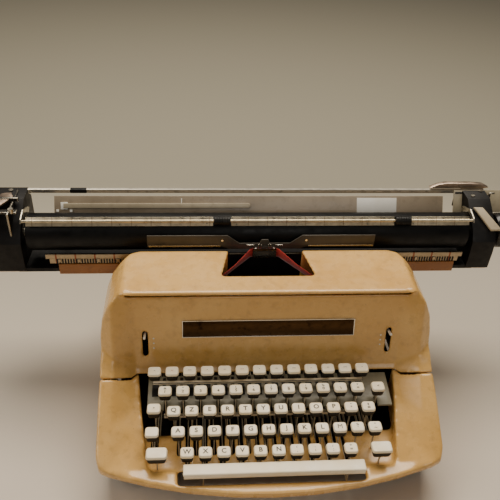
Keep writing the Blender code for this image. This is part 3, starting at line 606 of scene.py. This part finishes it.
def newPiece(name, materials, body, build, replaces=()):
    bm = bmesh.new()
    build(bm)
    return finishPiece(name, bm, materials, body, replaces)


print("inside")
keepNode("chassis", blackEnamel)
keepNode("ribbon_spool_left", blackEnamel)
keepNode("ribbon_spool_right", blackEnamel)
refineNode("carriage_rail", "rail_bars", [blackAndPaintedShade], "casing", 0.6)
refineNode("key_comb_plate", "comb_plate_sheet", [combEnamel], "casing", 0.3)
comb = {"firstKey": -125.9, "pitch": 19.05, "slotHalf": 3.6, "slotRun": (66, 92), "ribRun": (67, 90),
        "lean": math.atan2(7, 42), "lift": 0.0016}


def buildCombSlots(bm):
    # slots of the comb plate, where the tabulator stems pass, filled dark as painted shade, and pressed ribs
    # between them
    lean = Matrix.Rotation(comb["lean"], 3, "X")
    for i in range(13):
        x = comb["firstKey"] + i * comb["pitch"]
        half = comb["slotHalf"]
        verts = addBlock(bm, (x - half, x + half), comb["slotRun"], (81.0, 81.4), 0.1, 1, index=0)
        if i < 12:
            verts += addBlock(bm, (x + 7.4, x + 11.6), comb["ribRun"], (80.9, 81.7), 0.4, 2, index=1)
        bmesh.ops.rotate(bm, cent=place(x, 71, 81.5), matrix=lean, verts=verts)
        bmesh.ops.translate(bm, vec=(0, 0, comb["lift"]), verts=verts)


newPiece("comb_plate_slots", [blackAndPaintedShade, combEnamel], "casing", buildCombSlots)


def guideChooser(at, face):
    return 1 if at[2] < 191 and face.normal.z < -0.5 else 0


refineNode("card_holder", "card_guide", [shadedGuideEnamel, steel], "casing", 0.25,
           chooser=guideChooser)


guide = {"wings": ((-136, -52), (52, 130)), "uprights": (-7.2, -4.4, 4.4, 7.2), "springs": (-17, 17),
         "screws": (-50, 49), "forks": (-11, 11)}


def buildGuideTrim(bm):
    # bright lower edges of the wings, the two uprights of the type guide and its arched springs
    for ends in guide["wings"]:
        addBlock(bm, ends, (197.9, 198.5), (189.2, 191.4), 0.2, 2, index=0)
    for x in guide["uprights"]:
        addBlock(bm, (x - 0.5, x + 0.5), (196.6, 197.6), (184, 193.5), 0.3, 2, index=0)
    for x in guide["springs"]:
        addBlock(bm, (x - 4.2, x + 4.2), (196.8, 197.4), (191.8, 192.9), 0.25, 2, index=0)
    for x in guide["screws"]:
        addPost(bm, (x, 197.9, 198.5), 1.3, -0.3, 0.5, 16, 0, "y")
    addBlock(bm, (-9, 9), (196.4, 197.2), (180.5, 184.6), 0.3, 2, index=1)
    addBlock(bm, (-74, 74), (196.8, 197.2), (96, 178.5), 0, index=1)            # painted shade: dark sheet behind the type bars that fills the opening
    addBlock(bm, (-14, 14), (194.3, 194.9), (175.6, 189.4), 0.25, 2, index=1)   # lifter before the ribbon
    for x in guide["forks"]:
        addBlock(bm, (x - 0.9, x + 0.9), (194.0, 194.5), (176.5, 190), 0.2, 2, index=0)


newPiece("type_guide", [chrome, blackAndPaintedShade], "casing", buildGuideTrim)

segment = {"centre": (0, 184), "bars": 43, "reach": 51, "start": 25, "spread": 168, "tip": -9}


def buildTypeFan(bm):
    # the fan of type bars in the segment's slots, each with its type head at the outer end
    start, reach = segment["start"], segment["reach"]
    tip = Matrix.Rotation(math.radians(segment["tip"]), 3, "Y")
    for i in range(segment["bars"]):
        angle = math.radians(-90 - segment["spread"] / 2 + segment["spread"] * i / (segment["bars"] - 1))
        verts = addBlock(bm, (start, reach), (183.6, 184.4), (147.4, 149.6), 0)
        verts += addBlock(bm, (reach - 1, reach + 3.2), (182.9, 185.1), (148.6, 154.4), 0.4, 1)
        bmesh.ops.rotate(bm, cent=place(start, 184, 144), matrix=tip, verts=verts)
        around = Matrix.Rotation(angle, 3, "Z")
        bmesh.ops.rotate(bm, cent=place(*segment["centre"], 0), matrix=around, verts=verts)


newPiece("type_bar_fan", [leverSteel], "type_segment", buildTypeFan)
refineNode("type_segment", "type_segment_ring", [blackAndPaintedShade], "type_segment", 0.6)

ribbonPath = [(-86, 130, 160.5), (-60, 155.6, 166.5), (-36, 178, 172), (-17, 195, 176), (-13, 196, 176.2),
              (13, 196, 176.2), (17, 195, 176), (36, 178, 172), (60, 155.6, 166.5), (86, 130, 160.5)]
ribbonSize = {"width": 12.0, "thickness": 0.3}
bm = bmesh.new()
lower = [bm.verts.new(place(x, y, z)) for x, y, z in ribbonPath]
edges = [bm.edges.new(pair) for pair in zip(lower, lower[1:])]
made = bmesh.ops.extrude_edge_only(bm, edges=edges)["geom"]
raised = [v for v in made if isinstance(v, bmesh.types.BMVert)]
bmesh.ops.translate(bm, vec=(0, 0, ribbonSize["width"] / 1000), verts=raised)
for v in raised:
    lean = min(max(abs(v.co.x - middleX) - 0.015, 0) / 0.02, 1)
    v.co += Vector((0, -0.006 * lean, -0.0016 * lean))     # outside the lifter its top leans forward
bmesh.ops.subdivide_edges(bm, edges=bm.edges[:], cuts=3, use_grid_fill=True)
for v in bm.verts:                                  # slack between the guides lets the ribbon lean a little
    share = min(abs(v.co.x - middleX) / 0.086, 1)
    v.co.y += 0.0006 * math.sin(share * 9) * (v.co.z - 0.16) / 0.02
ribbon = finishPiece("ribbon_band", bm, [ribbonRed], "casing", replaces=("ink_ribbon",),
                     sharp=180)
wall = ribbon.modifiers.new("thickness", "SOLIDIFY")
wall.thickness = ribbonSize["thickness"] / 1000
wall.offset = 0


print("hood details")
panel = {"foot": (98.0, 95.0), "head": (117.0, 183.0), "dotX": 127.5, "dotRadius": 1.0,
         "dots": (119.5, 125.5, 131.5), "rim": 0.0009, "sink": 0.0003}
panelLean = math.atan2(panel["head"][0] - panel["foot"][0], panel["head"][1] - panel["foot"][1])


def panelAt(z, out=0.0):
    share = (z - panel["foot"][1]) / (panel["head"][1] - panel["foot"][1])
    y = panel["foot"][0] + share * (panel["head"][0] - panel["foot"][0])
    return y - out * math.cos(panelLean), z + out * math.sin(panelLean)


def makeNameplate():
    # plate with a thin raised bright rim and a plain dark field
    bm = bmesh.new()
    bm.from_mesh(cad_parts["nameplate"].data)
    bmesh.ops.remove_doubles(bm, verts=bm.verts, dist=0.00001)
    bmesh.ops.recalc_face_normals(bm, faces=bm.faces)
    bmesh.ops.dissolve_limit(bm, angle_limit=math.radians(1), verts=bm.verts, edges=bm.edges)
    face = min(bm.faces, key=lambda f: f.normal.y)
    bmesh.ops.inset_region(bm, faces=[face], thickness=panel["rim"], depth=0)
    paint(bm.faces, 0)
    bmesh.ops.inset_region(bm, faces=[face], thickness=panel["sink"], depth=-panel["sink"])
    face.material_index = 1
    finishPiece("plain_nameplate", bm, [chrome, plateBronze], "hood",
                replaces=("nameplate",))


makeNameplate()


def buildPanelMarks(bm):
    # three painted setting dots beside each slot
    lean = Matrix.Rotation(-panelLean, 3, "X")
    for x in (-panel["dotX"], panel["dotX"]):
        for z in panel["dots"]:
            y, height = panelAt(z, 0.25)
            verts = addPost(bm, (x, y, height), panel["dotRadius"], -0.15, 0.2, 16, 0, "y")
            bmesh.ops.rotate(bm, cent=place(x, y, height), matrix=lean, verts=verts)


newPiece("setting_dots", [whiteInk], "hood", buildPanelMarks)
refineNode("colour_lever", "colour_lever_tip", [leverIvory], "colour_lever", 0.4)
refineNode("touch_lever", "touch_lever_tip", [leverIvory], "touch_lever", 0.4)


print("carriage")
carriage = {
    "platen": (-276.0, 248.0), "platenRadius": 22.0, "axis": (225.0, 194.0), "shaft": 5.2,
    "knobs": ((-352.0, -326.0), (286.0, 312.0)), "knobRadius": 21.5, "knobBore": 4.9,
}


def frameChooser(at, face):
    x, y, z = at
    slant = (y - 252) * 25 - (z - 203) * 12
    if 242.9 < x < 306.1 and 251.5 < y < 266.5 and z > 202.5 and abs(slant) < 62:
        return 3
    if 264.5 < y < 269.5 and z > 222.4:
        return 1
    # the tray takes the tan painted darker as shade
    if y < 206.2 and z < 164.6 and -243 < x < 237:
        return 2
    # downward faces low at the front take the same painted shade
    if y < 214 and z < 153.5 and face.normal.z < -0.2:
        return 2
    return 0


frameFinishes = [blackEnamel, satinAluminium, shadedTrayEnamel, coverEnamel]
refineNode("carriage_frame", "carriage_body", frameFinishes, "carriage", 0.8, 3,
           frameChooser)


def buildPlaten(bm):
    left, right = carriage["platen"]
    radius, shaft = carriage["platenRadius"], carriage["shaft"]
    addTurned(bm, [(shaft, left), (radius - 1.0, left), (radius - 0.3, left + 0.3), (radius, left + 1.0),
                   (radius, right - 1.0), (radius - 0.3, right - 0.3), (radius - 1.0, right),
                   (shaft, right), (shaft, left)], *carriage["axis"], steps=96)


newPiece("platen_roller", [platenRubber], "platen", buildPlaten, ("platen",))


def buildKnobs(bm):
    radius, bore = carriage["knobRadius"], carriage["knobBore"]
    for low, high in carriage["knobs"]:
        outward = -1 if low < 0 else 1
        inner, outer = (high, low) if outward < 0 else (low, high)
        profile = [(0, outer), (radius * 0.5, outer), (radius * 0.56, outer - outward * 0.8),
                   (radius * 0.8, outer - outward * 0.8), (radius - 1.6, outer - outward * 1.0),
                   (radius - 0.4, outer - outward * 2.4), (radius, outer - outward * 4),
                   (radius, inner + outward * 4), (radius - 0.6, inner + outward * 2), (radius - 2, inner),
                   (bore, inner)]
        addTurned(bm, profile, *carriage["axis"], steps=72)
    ribs = [f for f in bm.faces if abs(f.normal.x) < 0.05 and f.calc_area() > 0.00002]
    ribs.sort(key=lambda f: (f.calc_center_median().x, math.atan2(f.normal.z, f.normal.y)))
    bmesh.ops.inset_individual(bm, faces=ribs[::2], thickness=0.0002, depth=-0.0007)
    rod = [(bore, carriage["knobs"][0][1]), (bore, carriage["knobs"][1][0])]
    addTurned(bm, rod, *carriage["axis"], steps=24, index=1)


newPiece("platen_knob_pair", [knobPlastic, steel], "platen", buildKnobs, ("platen_knobs",))


rack = {"strip": (-256, 244), "bar": (-252, 240), "teeth": 150, "firstTooth": -244, "toothPitch": 3.2,
        "stops": 21, "firstStop": -242, "stopPitch": 22.5}


def buildFrontScale(bm):
    # scale strip with its rolled lower edge, and the toothed tabulator rack below it
    addBlock(bm, rack["strip"], (200.3, 203.1), (171.6, 177.9), 0.5, 3, index=0)
    addBlock(bm, rack["bar"], (201.1, 203.1), (164.5, 171.7), 0.2, 1, index=1)
    for i in range(rack["teeth"]):
        x = rack["firstTooth"] + i * rack["toothPitch"]
        addBlock(bm, (x, x + 1.6), (200.4, 201.3), (165, 170.6), 0, index=1)
    for i in range(rack["stops"]):
        x = rack["firstStop"] + i * rack["stopPitch"]
        addBlock(bm, (x, x + 3.4), (200.05, 201.2), (166.5, 171.2), 0.3, 1, index=2)


newPiece("scale_and_rack", [frontScaleMetal, blackAndPaintedShade, steel], "carriage", buildFrontScale,
         ("front_scale",))


def bailChooser(at, face):
    return 1 if at[0] < -277.5 or at[0] > 249.5 else 0


refineNode("paper_bail", "bail_with_scale", [bailScale, steel], "paper_bail", 0.3, 2, bailChooser)
rollers = {"centres": {"left": -50.0, "right": 165.0}, "half": 9.5, "bore": 2.1, "radius": 5.3,
           "groove": 4.9, "axis": (210.5, 217.5)}
for side, x in rollers["centres"].items():
    low, high, outer = x - rollers["half"], x + rollers["half"], rollers["radius"]
    profile = [(rollers["bore"], low), (outer - 0.7, low), (outer - 0.1, low + 0.6)]
    for step in range(-6, 7, 3):
        middle = x + step
        profile += [(outer, middle - 1.0), (outer, middle - 0.3), (rollers["groove"], middle),
                    (outer, middle + 0.3), (outer, middle + 1.0)]
    profile += [(outer - 0.1, high - 0.6), (outer - 0.7, high), (rollers["bore"], high),
                (rollers["bore"], low)]
    newPiece("bail_roller_%s_tyre" % side, [rollerRubber], "bail_roller_" + side,
             lambda bm: addTurned(bm, profile, *rollers["axis"], steps=40), ("bail_roller_" + side,))

refineNode("paper_table", "paper_table_sheet", [oliveEnamel], "carriage", 0.6, 3)
refineNode("paper_support_arm", "support_arm_strip", [paleOlive], "paper_support_arm", 0.5, 3)

table = {"foot": (246.6, 202.0), "head": (259.0, 222.6)}
tableLean = math.atan2(table["head"][1] - table["foot"][1], table["head"][0] - table["foot"][0])


def layOnTable(bm, x, along, half, index=0, lift=0.1, thick=0.35):
    # a thin block lying on the table's face, along it a share from foot to head
    y = table["foot"][0] + along * (table["head"][0] - table["foot"][0])
    z = table["foot"][1] + along * (table["head"][1] - table["foot"][1])
    sides, depth = (x - half[0], x + half[0]), (y - half[1], y + half[1])
    verts = addBlock(bm, sides, depth, (z + lift, z + lift + thick), 0.12, 2, index)
    bmesh.ops.rotate(bm, cent=place(x, y, z), matrix=Matrix.Rotation(tableLean, 3, "X"), verts=verts)


def buildTableTrim(bm):
    layOnTable(bm, 143.5, 0.52, (25.0, 9.0), 0)              # blank label
    layOnTable(bm, -98, 0.72, (0.6, 3.6), 1)                 # centring mark
    layOnTable(bm, -238, 0.5, (4.2, 4.4), 2, 0.05, 1.2)      # clip that holds the support arm's end
    for x in (-246, -230):
        layOnTable(bm, x, 0.25, (1.6, 1.6), 2, 0.05, 0.9)


newPiece("table_label", [paper, whiteInk, steel], "carriage", buildTableTrim)


endFittings = {
    # blocks: left and right, front and rear, low and high, edge, segments, finish
    "rubber_stop": ((-232, -212), (264.2, 269.8), (222.6, 227.9), 1.2, 3, 2),
    "bracket": ((244, 274), (262, 264.4), (206, 226), 0.8, 2, 0),
    "left_cheek": ((-318.2, -315.8), (206, 262), (196, 229.4), 1.0, 3, 1),
    "right_cheek": ((-293.2, -290.8), (206, 262), (196, 229.4), 1.0, 3, 1),
    "front_bar": ((-320, -284), (214, 221), (224.6, 227.2), 0.8, 3, 1),
    "lug": ((-322, -312), (206, 236), (227.8, 230.2), 0.9, 3, 1),
    "cross_link": ((-309, -286), (236, 240), (228, 233), 0.9, 3, 1),
    "hook_stem": ((283, 286), (252, 254), (222, 230), 0.7, 3, 1),
    "hook_tip": ((283, 291), (252, 254), (229, 231), 0.7, 3, 1),
}
screws = {"upright": ((258, 261.6, 213), (268, 261.6, 213)),
          "flat": ((-318, 222, 229), (-300, 262, 228), (262, 250, 227.9), (276, 262, 227.9))}


def buildCarriageTrim(bm):
    # screws, brackets and links of the two ends, and the rubber stop on the rear rail
    for xs, ys, zs, edge, segments, index in endFittings.values():
        addBlock(bm, xs, ys, zs, edge, segments, index)
    for at in screws["upright"]:
        addPost(bm, at, 2.2, -0.6, 0.6, 20, 1, "y")
    for at in screws["flat"]:
        addPost(bm, at, 2.6, -1.0, 1.1, 20, 1)
    addPost(bm, (-312, 238, 227), 4.2, 0, 6.2, 28, 1)
    addPost(bm, (-290, 216, 226), 3.2, 0, 5.0, 28, 1)


newPiece("carriage_end_fittings", [blackEnamel, steel, rollerRubber], "carriage", buildCarriageTrim)
refineNode("return_lever", "return_lever_blade", [pinkSteel], "return_lever", 0.9, 3)
refineNode("paper_release_lever", "paper_release_blade", [pinkSteel], "paper_release_lever", 0.6, 3)
refineNode("carriage_release_lever", "carriage_release_arm", [paleOlive], "carriage_release_lever",
           1.2, 4)


print("camera and light")
cameraPlace = {"at": (-75.0, -424.9, 631.4), "yaw": 5.318, "pitch": 35.533, "roll": 2.766, "focal": 46.8,
               "sensor": 36}
lens = bpy.data.cameras.new("camera")
lens.lens = cameraPlace["focal"]
lens.sensor_width = cameraPlace["sensor"]
camera = bpy.data.objects.new("camera", lens)
bpy.context.scene.collection.objects.link(camera)
turn = (Matrix.Rotation(-math.radians(cameraPlace["yaw"]), 4, "Z")
        @ Matrix.Rotation(math.radians(90 - cameraPlace["pitch"]), 4, "X")
        @ Matrix.Rotation(math.radians(cameraPlace["roll"]), 4, "Z"))
camera.matrix_world = Matrix.Translation(place(*cameraPlace["at"])) @ turn
bpy.context.scene.camera = camera

# matt card, darker towards the back as painted shade
floorSheet = {"size": 6.0, "light": "#d0c4b4", "dark": "#8f8978", "fade": (-0.1, 0.55), "roughness": 0.85}
floorColour, tree, shader, coords = startMaterial("floor_sheet", floorSheet["roughness"])
away = addNode(tree, "SeparateXYZ", "Y", {}, {"Vector": coords})
away = addNode(tree, "MapRange", "Result", span(*floorSheet["fade"]), {"Value": away})
tones = colourPair(floorSheet["light"], floorSheet["dark"])
fade = addNode(tree, "Mix", 2, tones, {0: away}, data_type="RGBA")
connect(tree, shader, {"Base Color": fade})
bm = bmesh.new()
bmesh.ops.create_grid(bm, x_segments=2, y_segments=2, size=floorSheet["size"])
mesh = bpy.data.meshes.new("floor")
bm.to_mesh(mesh)
bm.free()
mesh.materials.append(floorColour)
floor = bpy.data.objects.new("floor", mesh)
bpy.context.scene.collection.objects.link(floor)

lights = {
    "key_light": {"at": (0.1, 0.75, 1.75), "size": (1.9, 0.9), "watts": 50, "colour": (1.0, 0.91, 0.78)},
    "left_light": {"at": (-1.5, -0.2, 1.2), "size": (1.0, 1.0), "watts": 9, "colour": (1.0, 0.93, 0.84)},
    "front_fill": {"at": (0.5, -1.9, 1.5), "size": (1.4, 1.0), "watts": 8, "colour": (1.0, 0.94, 0.86)},
}
aim = Vector((0, 0, 0.1))                           # every light looks at the machine's middle
for name, setting in lights.items():
    light = bpy.data.lights.new(name, "AREA")
    light.shape = "RECTANGLE"
    light.size, light.size_y = setting["size"]
    light.energy = setting["watts"]
    light.color = setting["colour"]
    lamp = bpy.data.objects.new(name, light)
    bpy.context.scene.collection.objects.link(lamp)
    lamp.location = setting["at"]
    lamp.rotation_euler = (aim - lamp.location).to_track_quat("-Z", "Y").to_euler()

world = bpy.data.worlds.new("world")
world.use_nodes = True
background = world.node_tree.nodes["Background"]
background.inputs["Color"].default_value = (0.62, 0.6, 0.57, 1)
background.inputs["Strength"].default_value = 0.16
bpy.context.scene.world = world
